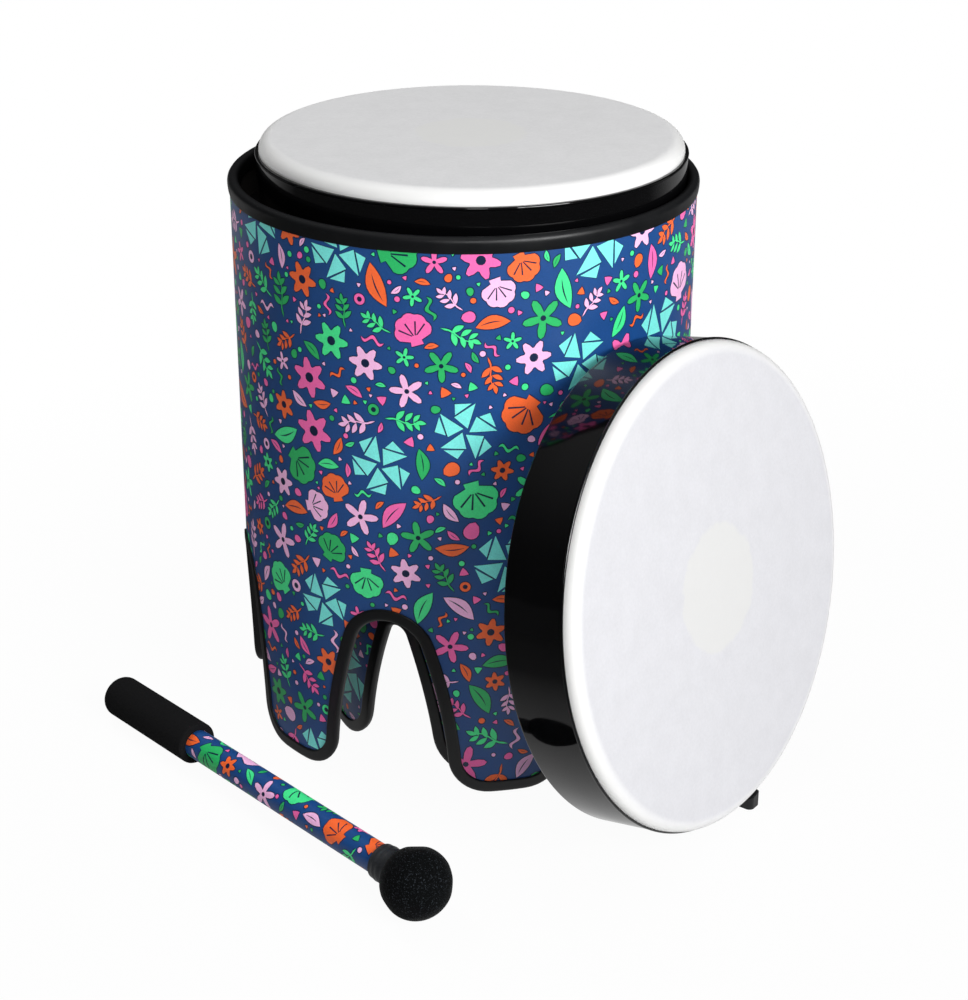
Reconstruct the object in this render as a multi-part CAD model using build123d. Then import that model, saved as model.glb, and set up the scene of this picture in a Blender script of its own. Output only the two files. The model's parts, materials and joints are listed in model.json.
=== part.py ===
"""Floor drum with a lift-out head, a leaning ocean drum, a mallet and a smaller shell nested inside.

Millimetres, +Z up. Each piece is made about the axis of the floor drum, with one of the six
arches facing -Y. The whole set is then moved so that the origin is on the floor, in the middle
of the set.
"""
from build123d import *
from math import acos, asin, atan2, cos, degrees, hypot, pi, radians, sin, sqrt
import os

# Clearances
FIT = 0.1            # between pieces of one assembly
SEAT = 0.3           # between assemblies that rest on or against each other

# Floor drum: shell, wrap and edge trims
SHELL_RADIUS = 165.0
SHELL_WALL = 4.0
SHELL_TOP = 415.0    # top of the upper trim
LEGS = 6
ARCH_RADIUS = 26.0   # crown of each arch
ARCH_BOW = 400.0     # radius of the bowed sides of each arch
ARCH_TOP = 134.4
LEG_FOOT = 22.0      # flat length under each leg
LEG_CORNER = 29.0
WRAP_SHEET = 0.4
TRIM_LIP = 2.0       # rubber on either side of the wall
TRIM_WEB = 2.5       # rubber past the edge of the wall
TRIM_FACE = 9.5      # width of the leg trim
TOP_TRIM_FACE = 11.0
TOP_TRIM_ROUND = 3.6

# Lift-out head and the ledge that it rests on
HEAD_GAP = 6.15      # mean gap to the upper trim
HEAD_BEARING = 109.0 # side of the trim that the head rests against, degrees from -Y towards +X
HEAD_RISE = 15.9     # lower edge of the white collar above the upper trim
HEAD_DEPTH = 46.0    # frame and hoop below the collar
FRAME_WALL = 10.0
HOOP_LIP = 0.5
HOOP_TALL = 2.0
COLLAR_INSET = 2.75  # white collar inside the hoop
COLLAR_ROUND = 9.0
COLLAR_SKIRT = 1.0
SKIN_SHEET = 1.0
TONE_DOT_RADIUS = 40.0
TONE_DOT_SHEET = 0.5
LEDGE_TALL = 6.0
LEDGE_LIP = 4.0      # ledge past the inside of the head frame
PAD_TALL = 3.0
PAD_WIDE = 14.0

# Ocean drum that leans on the shell
OCEAN_RADIUS = 168.5
OCEAN_DEPTH = 46.0   # frame and hoop behind the collar
OCEAN_COLLAR_INSET = 1.5
OCEAN_COLLAR_ROUND = 8.0
OCEAN_REAR_ROUND = 2.0
REBATE_DEEP = 6.0    # rear rebate that takes the back skin and its hoop
REBATE_WIDE = 4.5
BACK_HOOP_WIDE = 6.5
BACK_HOOP_INSET = 1.0
BEAD_RADIUS = 2.5
BEAD_SPACE = 0.15
BEAD_ROWS = 3
BEAD_LAYERS = 2
BEAD_FAN = 16.5      # half angle of the pile, degrees
LEAN = 10.3          # degrees back from upright
FACING = 71.7        # direction of the white face, degrees from -Y towards +X
SIDE_SHIFT = -42.9   # along the shell, from the drum's axis
CHOCK_SPAN = 13.0
CHOCK_START = 15.0   # right of the lowest point of the frame
CHOCK_DEEP = 27.0
CHOCK_LEAD = 6.5     # ahead of the front hoop
CHOCK_TALL = 11.3
CHOCK_ROUND = 4.0

# Mallet on the floor
SHAFT_RADIUS = 10.1
SHAFT_WRAP = 0.6
GRIP_RADIUS = 15.75
GRIP_LONG = 105.0
GRIP_END = 8.0
GRIP_ROUND = 7.0
WRAP_LONG = 212.0    # printed sleeve between grip and ferrule
FERRULE_LONG = 14.0
FERRULE_WALL = 2.6
BALL_RADIUS = 24.5
BALL_COVER = 2.5
FERRULE_BITE = 3.0   # ferrule inside the ball's cover
MALLET_HEADING = -29.4
MALLET_STANDOFF = 65.3   # axis of the shaft from the shell
MALLET_BACK = 139.6      # grip's end behind the nearest point to the shell

# Smaller shell nested inside
NEST_RADIUS = 127.0
NEST_ARCH_RADIUS = 8.6
NEST_ARCH_TOP = 111.8
NEST_FOOT = 5.0
NEST_CORNER = 32.8
NEST_ROOM = 34.0     # below the ledge
NEST_TURN = -16.2    # legs turned from the floor drum's, degrees
NEST_BEARING = 77.1  # side of the floor drum that it stands against, degrees from -Y towards +X

# Places that follow from the sizes above
SHELL_BORE = SHELL_RADIUS - SHELL_WALL
HEAD_HOOP_RADIUS = SHELL_BORE - TRIM_LIP - HEAD_GAP
HEAD_RADIUS = HEAD_HOOP_RADIUS - HOOP_LIP
HEAD_BOTTOM = SHELL_TOP + HEAD_RISE - HEAD_DEPTH
HEAD_SHIFT = HEAD_GAP - SEAT
LEDGE_BOTTOM = HEAD_BOTTOM - SEAT - PAD_TALL - LEDGE_TALL
NEST_TOP = LEDGE_BOTTOM - NEST_ROOM
NEST_SHIFT = SHELL_BORE - NEST_RADIUS - 2 * TRIM_LIP - SEAT
BALL_REACH = GRIP_LONG + WRAP_LONG + FERRULE_LONG - FERRULE_BITE + BALL_RADIUS   # centre of the ball


def lathe(*points):
    """Solid turned about Z from a closed outline of (radius, height) points."""
    return revolve(Plane.XZ * make_face(Polyline(*points, close=True)), Axis.Z)


def tube(outer, inner, low, high):
    """Ring between two radii and two heights."""
    return lathe((inner, low), (outer, low), (outer, high), (inner, high))


def at_bearing(radius, bearing):
    """Point on the floor at a distance from the origin, with bearings counted from -Y."""
    angle = radians(bearing)
    return radius * sin(angle), -radius * cos(angle)


def leg_cuts(radius, arch_radius, arch_top, foot, corner, inset):
    """Prisms below the wavy lower edge of a shell, with that edge moved inset into the wall."""
    half_sector = radius * sin(pi / LEGS)
    arch_z = arch_top - arch_radius
    corner_x = half_sector - foot / 2
    turn = corner - inset
    # Each side of the arch is one arc that runs on smoothly from the crown to the foot's corner.
    reach = ARCH_BOW - arch_radius
    rise = arch_z - corner
    between = hypot(corner_x, rise)
    share = (between ** 2 + reach ** 2 - (ARCH_BOW + corner) ** 2) / (2 * reach * between)
    start = atan2(rise, -corner_x) - acos(share)
    bow_x = -reach * cos(start)
    bow_z = arch_z - reach * sin(start)
    end = atan2(corner - bow_z, corner_x - bow_x)
    crown_tilt, corner_tilt = degrees(start), degrees(end)
    side = 1.2 * half_sector
    floor = -TRIM_FACE

    outline = [
        CenterArc((0, arch_z), arch_radius + inset, crown_tilt, 180 - 2 * crown_tilt),
        CenterArc((bow_x, bow_z), ARCH_BOW + inset, corner_tilt, crown_tilt - corner_tilt),
        CenterArc((corner_x, corner), turn, 180 + corner_tilt, 90 - corner_tilt),
        Polyline((corner_x, inset), (side, inset), (side, floor), (-side, floor), (-side, inset), (-corner_x, inset)),
        CenterArc((-corner_x, corner), turn, 270, 90 - corner_tilt),
        CenterArc((-bow_x, bow_z), ARCH_BOW + inset, 180 - crown_tilt, crown_tilt - corner_tilt),
    ]
    prism = extrude(Plane.XZ * make_face(outline), amount=radius + 2 * TRIM_FACE)
    return [Rot(0, 0, 360 / LEGS * i) * prism for i in range(LEGS)]


def shell_set(radius, top, arch_radius, arch_top, foot, corner):
    """Shell wall, printed wrap, upper trim and leg trim of one floor-standing shell."""
    bore = radius - SHELL_WALL
    outer = radius + TRIM_LIP
    inner = bore - TRIM_LIP
    face = top - TOP_TRIM_FACE
    edge = top - TRIM_WEB

    def cuts(inset):
        return leg_cuts(radius, arch_radius, arch_top, foot, corner, inset)

    wall = tube(radius, bore, 0, edge) - cuts(TRIM_WEB)
    wrap = tube(radius + FIT + WRAP_SHEET, radius + FIT, 0, face) - cuts(TRIM_FACE)

    section = Polyline((inner, face), (bore, face), (bore, edge), (radius, edge), (radius, face), (outer, face),
                       (outer, top), (inner, top), close=True)
    channel = make_face(section)
    crests = channel.vertices().group_by(Axis.Y)[-1]
    upper = revolve(Plane.XZ * fillet(crests, TOP_TRIM_ROUND), Axis.Z)

    band = tube(outer, inner, 0, arch_top + TRIM_FACE + TRIM_WEB)
    above = band - cuts(TRIM_FACE)
    lower = band - cuts(0) - above - wall
    return wall, wrap, upper, lower


def head_skin(collar, skirt, rounding, low):
    """White skin: a flat disc with a rounded edge and a short skirt that ends at the height low."""
    flat = collar - rounding
    turn = low + skirt
    top = turn + rounding
    inside = rounding - SKIN_SHEET
    outline = [
        Line((0, top), (flat, top)),
        CenterArc((flat, turn), rounding, 0, 90),
        Polyline((collar, turn), (collar, low), (collar - SKIN_SHEET, low), (collar - SKIN_SHEET, turn)),
        CenterArc((flat, turn), inside, 0, 90),
        Polyline((flat, top - SKIN_SHEET), (0, top - SKIN_SHEET), (0, top)),
    ]
    return revolve(Plane.XZ * make_face(outline), Axis.Z)


def head_hoop(outer, collar, low):
    """Thin black ring that closes the joint between collar and frame."""
    return tube(outer, collar - SKIN_SHEET, low - HOOP_TALL, low)


def bearing_edge(outer, collar, skirt, rounding, bottom, low):
    """Frame wall with a rounded crest under the skin, from its bottom to the collar at height low."""
    inner = outer - FRAME_WALL
    ledge = low - HOOP_TALL
    turn = low + skirt
    flat = collar - rounding
    crest_radius = rounding - SKIN_SHEET
    start = collar - SKIN_SHEET
    crest = flat + crest_radius * cos(pi / 4), turn + crest_radius * sin(pi / 4)
    peak = max(inner, flat)
    peak_z = turn + sqrt(crest_radius ** 2 - (peak - flat) ** 2)
    outline = [
        Polyline((start, turn), (start, ledge), (outer, ledge), (outer, bottom), (inner, bottom), (inner, peak_z)),
        ThreePointArc((start, turn), crest, (flat, turn + crest_radius)) if inner <= flat
        else CenterArc((flat, turn), crest_radius, 0, degrees(atan2(peak_z - turn, peak - flat))),
    ]
    if inner < flat:
        outline.append(Line((inner, peak_z), (flat, turn + crest_radius)))
    return revolve(Plane.XZ * make_face(outline), Axis.Z)


def tone_dot(under):
    """Thin disc stuck to the underside of a skin."""
    return tube(TONE_DOT_RADIUS, 0, under - TONE_DOT_SHEET, under)


def lift_out_head():
    """Frame, hoop, skin and tone dot of the head, with its bottom on the floor."""
    collar = HEAD_HOOP_RADIUS - COLLAR_INSET
    top = HEAD_DEPTH + COLLAR_SKIRT + COLLAR_ROUND
    return {
        "head_frame": bearing_edge(HEAD_RADIUS, collar, COLLAR_SKIRT, COLLAR_ROUND, 0, HEAD_DEPTH),
        "head_hoop": head_hoop(HEAD_HOOP_RADIUS, collar, HEAD_DEPTH),
        "head_skin": head_skin(collar, COLLAR_SKIRT, COLLAR_ROUND, HEAD_DEPTH),
        "head_tone_dot": tone_dot(top - SKIN_SHEET),
    }


def ledge():
    """Wooden ledge inside the shell, and the foam pad on it."""
    inner = HEAD_RADIUS - FRAME_WALL - HEAD_SHIFT - LEDGE_LIP
    deck = LEDGE_BOTTOM + LEDGE_TALL
    return {
        "seat_ring": tube(SHELL_BORE, inner, LEDGE_BOTTOM, deck),
        "seat_pad": tube(SHELL_BORE - FIT, SHELL_BORE - FIT - PAD_WIDE, deck, deck + PAD_TALL),
    }


def ocean_beads(bore, floor):
    """Loose steel beads in the lowest part of the frame, behind the back skin's inner face at floor."""
    pitch = 2 * BEAD_RADIUS + BEAD_SPACE
    beads = []
    for layer in range(BEAD_LAYERS):
        reach = bore - BEAD_SPACE - BEAD_RADIUS - layer * pitch
        step = degrees(2 * asin(pitch / (2 * reach)))
        count = int((BEAD_FAN - layer * step) / step)
        for row in range(BEAD_ROWS - layer):
            height = floor + BEAD_SPACE + BEAD_RADIUS + row * pitch
            for i in range(-count, count + 1):
                x, y = at_bearing(reach, i * step)
                beads.append(Pos(x, y, height) * Sphere(BEAD_RADIUS))
    return Compound(children=beads)


def ocean_drum():
    """Pieces of the ocean drum about its own axis, with its rear on the floor."""
    hoop = OCEAN_RADIUS + HOOP_LIP
    collar = hoop - OCEAN_COLLAR_INSET
    bore = OCEAN_RADIUS - FRAME_WALL
    rebate = bore + REBATE_WIDE
    top = OCEAN_DEPTH + COLLAR_SKIRT + OCEAN_COLLAR_ROUND
    frame = bearing_edge(OCEAN_RADIUS, collar, COLLAR_SKIRT, OCEAN_COLLAR_ROUND, 0, OCEAN_DEPTH)
    frame -= tube(rebate, bore - FIT, -FIT, REBATE_DEEP)
    rim = frame.edges().filter_by(GeomType.CIRCLE).filter_by(lambda e: abs(e.radius - OCEAN_RADIUS) < FIT)
    frame = fillet(rim.group_by(Axis.Z)[0], OCEAN_REAR_ROUND)
    skin_low = REBATE_DEEP - SKIN_SHEET
    return {
        "ocean_frame": frame,
        "ocean_front_hoop": head_hoop(hoop, collar, OCEAN_DEPTH),
        "ocean_front_skin": head_skin(collar, COLLAR_SKIRT, OCEAN_COLLAR_ROUND, OCEAN_DEPTH),
        "ocean_tone_dot": tone_dot(top - SKIN_SHEET),
        "ocean_back_skin": tube(rebate - FIT, 0, skin_low, REBATE_DEEP),
        "ocean_back_hoop": tube(rebate - FIT, rebate - FIT - BACK_HOOP_WIDE, BACK_HOOP_INSET, skin_low),
        "ocean_beads": ocean_beads(bore, REBATE_DEEP),
    }


def leaning_plane():
    """Rear plane of the ocean drum, standing on its rear edge with the top of that edge on the shell."""
    lean = radians(LEAN)
    across = Vector(cos(radians(FACING)), sin(radians(FACING)), 0)
    outward = Vector(*at_bearing(1, FACING), 0)
    wall = SHELL_RADIUS + FIT + WRAP_SHEET + SEAT
    reaches = []
    for i in range(1, 1800):
        angle = radians(i / 10)
        sideways = SIDE_SHIFT + OCEAN_RADIUS * cos(angle)
        if abs(sideways) < wall:
            reaches.append(OCEAN_RADIUS * sin(angle) * sin(lean) + sqrt(wall ** 2 - sideways ** 2))
    rest = (OCEAN_RADIUS - OCEAN_REAR_ROUND) * cos(lean) + OCEAN_REAR_ROUND * (1 - sin(lean))
    place = across * SIDE_SHIFT + outward * max(reaches) + Vector(0, 0, rest)
    normal = outward * cos(lean) + Vector(0, 0, sin(lean))
    return Plane(place, x_dir=across, z_dir=normal)


def rubber_chock(plane):
    """Small rubber block on the floor under the front edge of the leaning drum."""
    lean = radians(LEAN)
    lead = OCEAN_RADIUS * sin(lean) + OCEAN_DEPTH * cos(lean) + CHOCK_LEAD
    outward = Vector(*at_bearing(1, FACING), 0)
    foot = Vector(plane.origin.X, plane.origin.Y, 0)
    ground = Plane(foot, x_dir=plane.x_dir, z_dir=(0, 0, 1))
    toward = ground.to_local_coords(foot + outward).Y
    block = Box(CHOCK_SPAN, CHOCK_DEEP, CHOCK_TALL, align=(Align.MIN, Align.CENTER, Align.MIN))
    block = fillet(block.edges().filter_by(Axis.Z), CHOCK_ROUND)
    block = ground * Pos(CHOCK_START, toward * (lead - CHOCK_DEEP / 2), 0) * block
    drum = plane * Cylinder(OCEAN_RADIUS + HOOP_LIP, 4 * OCEAN_DEPTH)
    return block - drum


def mallet():
    """Pieces of the mallet, standing on its grip with the ball up."""
    sleeve = SHAFT_RADIUS + SHAFT_WRAP
    grip = lathe((0, 0), (GRIP_RADIUS, 0), (GRIP_RADIUS, GRIP_LONG), (0, GRIP_LONG))
    grip = fillet(grip.edges().group_by(Axis.Z)[0], GRIP_ROUND)
    grip = fillet(grip.edges().group_by(Axis.Z)[-1], GRIP_ROUND / 4)
    grip -= tube(SHAFT_RADIUS + FIT, 0, GRIP_END, GRIP_LONG + FIT)
    ferrule_low = GRIP_LONG + WRAP_LONG
    ferrule = tube(sleeve + FERRULE_WALL, SHAFT_RADIUS + FIT, ferrule_low, ferrule_low + FERRULE_LONG)
    ball = Pos(0, 0, BALL_REACH)
    bore = tube(SHAFT_RADIUS + FIT, 0, ferrule_low, BALL_REACH)
    core = ball * Sphere(BALL_RADIUS - BALL_COVER)
    cover = ball * Sphere(BALL_RADIUS) - core
    neck = tube(sleeve + FERRULE_WALL + FIT, 0, ferrule_low, ferrule_low + FERRULE_LONG + FIT)
    return {
        "mallet_shaft": tube(SHAFT_RADIUS, 0, GRIP_END + FIT, BALL_REACH - FIT),
        "mallet_wrap": tube(sleeve, SHAFT_RADIUS + FIT, GRIP_LONG + FIT, ferrule_low - FIT),
        "mallet_grip": grip,
        "mallet_ferrule": ferrule,
        "mallet_ball_core": core - bore - neck,
        "mallet_ball_cover": cover - bore - neck,
    }


def mallet_plane():
    """Plane at the grip's end, facing along the mallet, which lies on its grip and its ball."""
    heading = radians(MALLET_HEADING)
    along = Vector(cos(heading), sin(heading), 0)
    beside = Vector(sin(heading), -cos(heading), 0)
    rise = asin((BALL_RADIUS - GRIP_RADIUS) / (BALL_REACH - GRIP_ROUND))
    start = along * -MALLET_BACK + beside * (SHELL_RADIUS + MALLET_STANDOFF)
    lift = GRIP_RADIUS * cos(rise) - GRIP_ROUND * sin(rise)
    return Plane(start + Vector(0, 0, lift), x_dir=beside, z_dir=along * cos(rise) + Vector(0, 0, sin(rise)))


def assemble():
    """Every piece by name, in its place."""
    pieces = {}
    outer = shell_set(SHELL_RADIUS, SHELL_TOP, ARCH_RADIUS, ARCH_TOP, LEG_FOOT, LEG_CORNER)
    pieces.update(zip(("shell", "outer_wrap", "top_trim", "leg_trim"), outer))
    pieces.update(ledge())

    shift_x, shift_y = at_bearing(HEAD_SHIFT, HEAD_BEARING)
    for name, piece in lift_out_head().items():
        pieces[name] = Pos(shift_x, shift_y, HEAD_BOTTOM) * piece

    rear = leaning_plane()
    for name, piece in ocean_drum().items():
        pieces[name] = rear * piece
    pieces["rubber_chock"] = rubber_chock(rear)

    lying = mallet_plane()
    for name, piece in mallet().items():
        pieces[name] = lying * piece

    shift_x, shift_y = at_bearing(NEST_SHIFT, NEST_BEARING)
    inner = shell_set(NEST_RADIUS, NEST_TOP, NEST_ARCH_RADIUS, NEST_ARCH_TOP, NEST_FOOT, NEST_CORNER)
    for name, piece in zip(("nested_shell", "nested_wrap", "nested_top_trim", "nested_leg_trim"), inner):
        pieces[name] = Pos(shift_x, shift_y, 0) * Rot(0, 0, NEST_TURN) * piece
    return pieces


def centred(pieces):
    """The pieces moved together, so that the set's box stands on the origin by the middle of its base."""
    box = Compound(list(pieces.values())).bounding_box()
    middle = box.center()
    rear = leaning_plane()
    print(f"floor drum's axis at {-middle.X:.3f}, {-middle.Y:.3f}")
    print(f"ocean drum's rear at {rear.origin.X - middle.X:.3f}, {rear.origin.Y - middle.Y:.3f}, {rear.origin.Z:.3f}")
    return {name: Pos(-middle.X, -middle.Y, 0) * piece for name, piece in pieces.items()}


os.makedirs("parts", exist_ok=True)
for name, piece in centred(assemble()).items():
    export_step(piece, f"parts/{name}.step")
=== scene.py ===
"""Dresses the CAD model of a drum set: a floor drum with a lift-out head and a smaller shell nested
inside, an ocean drum that leans on it, and a mallet. Metres, in the CAD model's frame."""

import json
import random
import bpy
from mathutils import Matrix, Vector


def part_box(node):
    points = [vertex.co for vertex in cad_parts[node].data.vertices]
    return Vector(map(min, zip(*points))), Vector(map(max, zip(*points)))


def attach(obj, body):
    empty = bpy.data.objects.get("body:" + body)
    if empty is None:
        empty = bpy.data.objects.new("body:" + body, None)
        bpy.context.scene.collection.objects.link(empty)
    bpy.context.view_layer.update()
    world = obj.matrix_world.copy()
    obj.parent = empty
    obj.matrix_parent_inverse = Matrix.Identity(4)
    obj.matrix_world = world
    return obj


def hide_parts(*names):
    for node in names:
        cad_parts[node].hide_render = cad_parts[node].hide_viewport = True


bl_info = {
    "name": "Ocean drum set",
    "version": (1, 0, 0),
    "blender": (4, 5, 0),
    "location": "View3D > Sidebar > Drum set",
    "description": "Builds the visible pieces, materials and stage of an ocean drum set",
    "category": "Add Mesh",
}

from functools import cache
from math import acos, asin, atan2, cos, degrees, hypot, log, pi, radians, sin

import bpy
from bpy.props import FloatProperty, FloatVectorProperty, IntProperty, PointerProperty
from bpy.types import Operator, Panel, PropertyGroup
from mathutils import Euler, Matrix, Vector, noise
from mathutils.geometry import delaunay_2d_cdt

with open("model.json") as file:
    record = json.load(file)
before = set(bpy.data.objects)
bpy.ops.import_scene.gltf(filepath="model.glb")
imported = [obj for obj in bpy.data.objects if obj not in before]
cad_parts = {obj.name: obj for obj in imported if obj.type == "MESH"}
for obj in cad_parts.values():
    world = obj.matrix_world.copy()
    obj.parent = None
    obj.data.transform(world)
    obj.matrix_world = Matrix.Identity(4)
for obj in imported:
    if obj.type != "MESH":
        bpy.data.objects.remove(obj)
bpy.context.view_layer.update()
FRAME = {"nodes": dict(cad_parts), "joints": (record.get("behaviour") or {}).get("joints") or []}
MM = 0.001

# Sides of the turned pieces
RING_SIDES = 192
BACK_SIDES = 128
MALLET_SIDES = 96

REAR_ROUND = 2 * MM  # rounding of the frames' rear edges
FLOOR_SIZE = 14  # metres of studio paper
LAMP_AIM = 0.22  # height that the soft boxes look at, metres
# Painted reflection: how bright the paper glows in reflections, by the distance in metres from the ocean drum
FLOOR_PAINTED_POOL = ((0.0, 0.7), (1.0, 0.05), (0.12, 0.7), (0.28, 0.35), (0.48, 0.06))

# Tints of the films: struck face, tone dot, collar. The lift-out head's are lighter and the ocean drum's darker, as
# painted light and shade that make up for how the light falls on each
HEAD_TINTS = ("#dededf", "#dfdfdd", "#f3f3f2")
OCEAN_TINTS = ("#cbcbcf", "#d0d0ce", "#e9e9e8")
BACK_TINTS = ("#cbcbcf", "#cbcbcf", "#e9e9e8")
DOT_TINTS = ("#cbcbcc", "#cbcbca", "#e7e7e6")


def linear(hex_colour):
    """Linear RGB of an sRGB hex value."""
    channels = (int(hex_colour[i:i + 2], 16) / 255 for i in (1, 3, 5))
    return tuple(c / 12.92 if c <= 0.04045 else ((c + 0.055) / 1.055) ** 2.4 for c in channels)


def colour(name, description, hex_colour):
    """Colour property with an sRGB default."""
    return FloatVectorProperty(name=name, description=description, subtype="COLOR", min=0, max=1,
                               default=linear(hex_colour))


def number(name, description, value, subtype="NONE"):
    """Number property, with a subtype where one fits."""
    return FloatProperty(name=name, description=description, subtype=subtype, default=value)


def length(name, description, millimetres):
    """Length property with a default in millimetres."""
    return number(name, description, millimetres * MM, "DISTANCE")


def middle(node):
    """Middle of a CAD node's box."""
    low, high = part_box(node)
    return (low + high) / 2


def under(node):
    """Point on the floor under the middle of a CAD node."""
    return middle(node) * Vector((1, 1, 0))


def half_width(node):
    """Half the width of a CAD node's box, the radius of an upright round one."""
    low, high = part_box(node)
    return (high.x - low.x) / 2


def heights(node):
    """Lowest and highest height of a CAD node."""
    low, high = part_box(node)
    return low.z, high.z


# Settings

class PrintSettings(PropertyGroup):
    """Inks and scale of the printed vinyl"""
    ground: colour("Ground", "Navy between the motifs", "#184988")
    outline: colour("Outline", "Dark line round each motif", "#0d2144")
    orange: colour("Orange", "Ink of many motifs", "#ff6d33")
    green: colour("Green", "Ink of some motifs", "#29bd68")
    mint: colour("Mint", "Ink of many motifs", "#45ee95")
    pink: colour("Pink", "Ink of some motifs", "#ff6cb6")
    blush: colour("Blush", "Ink of most motifs", "#ffc2ee")
    turquoise: colour("Turquoise", "Ink of the large angular motifs", "#7ff2ea")
    line: length("Outline width", "Width of the dark line round each motif", 0.7)
    seed: IntProperty(name="Seed", description="Changes the scatter of the motifs", default=11)


class ShellSettings(PropertyGroup):
    """Sizes shared by the floor drum and the nested shell"""
    wall: length("Wall", "Thickness of the shell", 4)
    lip: length("Trim lip", "Rubber on either side of the wall", 2)
    web: length("Trim web", "Rubber past the edge of the wall", 2.5)
    face: length("Leg trim", "Width of the leg trim", 9.5)
    crest: length("Leg trim round", "Rounding of the leg trim's outer edges", 3)
    rim_crest: length("Upper trim round", "Rounding of the upper trim's outer edges", 3.9)
    tuck: length("Tuck", "How far the print runs under the trims", 3)
    bow: length("Arch bow", "Radius of the bowed sides of the arches", 400)
    arch: length("Arch crown", "Radius of the floor drum's arches", 26)
    foot: length("Foot", "Flat length under a leg of the floor drum", 22)
    corner: length("Foot corner", "Rounding beside a foot of the floor drum", 29)
    nested_arch: length("Nested arch crown", "Radius of the nested shell's arches", 8.6)
    nested_foot: length("Nested foot", "Flat length under a leg of the nested shell", 5)
    nested_corner: length("Nested foot corner", "Rounding beside a foot of the nested shell", 32.8)
    nested_turn: number("Nested turn", "Turn of the nested shell's legs", radians(-16.2), "ANGLE")


class HeadSettings(PropertyGroup):
    """Sizes of the two skins, hoops and frames"""
    skin: length("Skin", "Thickness of the skins", 1)
    skirt: length("Skirt", "Straight part of the collars", 1)
    round: length("Collar", "Rounding of the lift-out head's collar", 9)
    ocean_round: length("Ocean collar", "Rounding of the ocean drum's collar", 8)
    frame: length("Frame", "Wall of the frames", 10)
    slack: length("Slack", "Room between the skins and the frames under them", 0.1)
    dot: length("Tone dot", "Radius of the disc behind each skin", 40)


class MalletSettings(PropertyGroup):
    """Sizes along the mallet"""
    grip_radius: length("Grip radius", "Radius of the foam grip", 15.75)
    sleeve_radius: length("Sleeve radius", "Radius of the printed sleeve", 10.7)
    ferrule_radius: length("Ferrule radius", "Radius of the rubber ferrule", 13.3)
    ball_radius: length("Ball radius", "Radius of the covered ball", 24.5)


class StageSettings(PropertyGroup):
    """Camera, floor and light"""
    camera_bearing: number("Camera bearing", "Round the drum, from -Y towards +X", radians(19), "ANGLE")
    camera_reach: length("Camera reach", "From the drum's axis, along the floor", 1434.3)
    camera_height: length("Camera height", "Above the floor", 809.6)
    camera_dip: number("Camera dip", "Below the horizon", 0.4274, "ANGLE")
    camera_swing: number("Camera swing", "To the right of the drum's axis", 0.0106, "ANGLE")
    camera_roll: number("Camera roll", "About the line of sight", 0.0034, "ANGLE")
    camera_lens: number("Lens", "Focal length in millimetres on a 36 mm sensor", 74.55, "DISTANCE_CAMERA")
    floor: colour("Floor", "Studio paper, for the light that it throws back", "#dcdcdc")
    key: number("Key", "Watts of the soft box on the right", 63, "POWER")
    front: number("Front", "Watts of the small soft box above the camera", 6, "POWER")
    rear: number("Rear", "Watts of the soft box behind the drum, on the left", 30, "POWER")
    horizon: number("Horizon", "Light of the room at the horizon", 0.02)
    zenith: number("Zenith", "Light of the room from straight above", 0.52)


# Modelling helpers

def arc(centre_radius, centre_height, radius, start, end, steps):
    """(radius, height) points round a corner, angles in degrees."""
    angles = [radians(start + (end - start) * i / steps) for i in range(steps + 1)]
    return [(centre_radius + radius * cos(a), centre_height + radius * sin(a)) for a in angles]


def only(piece):
    """Deselects everything but one object."""
    bpy.ops.object.select_all(action="DESELECT")
    piece.select_set(True)
    bpy.context.view_layer.objects.active = piece


def face_out():
    """In edit mode, turns all faces outwards."""
    bpy.ops.mesh.select_all(action="SELECT")
    bpy.ops.mesh.normals_make_consistent(inside=False)


def edited(piece, *steps):
    """Runs edit-mode steps on a piece, the first of them on the whole of its mesh."""
    only(piece)
    bpy.ops.object.mode_set(mode="EDIT")
    bpy.ops.mesh.select_all(action="SELECT")
    for step in steps:
        step()
    bpy.ops.object.mode_set(mode="OBJECT")
    return piece


def turned(name, profile, sides, closed=False, cap=False):
    """Piece turned about Z: one ring, extruded and scaled from each (radius, height) to the next."""
    bpy.ops.object.select_all(action="DESELECT")
    radius, height = profile[0]
    bpy.ops.mesh.primitive_circle_add(vertices=sides, radius=radius, location=(0, 0, height))
    piece = bpy.context.object
    piece.name = piece.data.name = name
    bpy.ops.object.transform_apply()
    bpy.ops.object.mode_set(mode="EDIT")
    bpy.ops.mesh.select_all(action="SELECT")
    for next_radius, next_height in profile[1:]:
        rise = (0, 0, next_height - height)
        bpy.ops.mesh.extrude_region_move(TRANSFORM_OT_translate={"value": rise})
        scale = next_radius / radius
        bpy.ops.transform.resize(value=(scale, scale, 1), center_override=(0, 0, next_height))
        radius, height = next_radius, next_height
    if cap:
        bpy.ops.mesh.merge(type="CENTER")
    if closed:
        bpy.ops.mesh.select_all(action="SELECT")
        bpy.ops.mesh.region_to_loop()
        bpy.ops.mesh.bridge_edge_loops()
    face_out()
    bpy.ops.object.mode_set(mode="OBJECT")
    return piece


def modified(piece, kind, **settings):
    """Adds a modifier with its settings and applies it."""
    only(piece)
    modifier = piece.modifiers.new(kind.title(), kind)
    for name, value in settings.items():
        setattr(modifier, name, value)
    bpy.ops.object.modifier_apply(modifier=modifier.name)
    return piece


def smooth(piece, angle=50):
    """Smooth shading, with edges above an angle kept sharp."""
    only(piece)
    bpy.ops.object.shade_smooth_by_angle(angle=radians(angle))
    return piece


def coat(piece, material):
    """Gives an object its one material."""
    piece.data.materials.clear()
    piece.data.materials.append(material)


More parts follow.
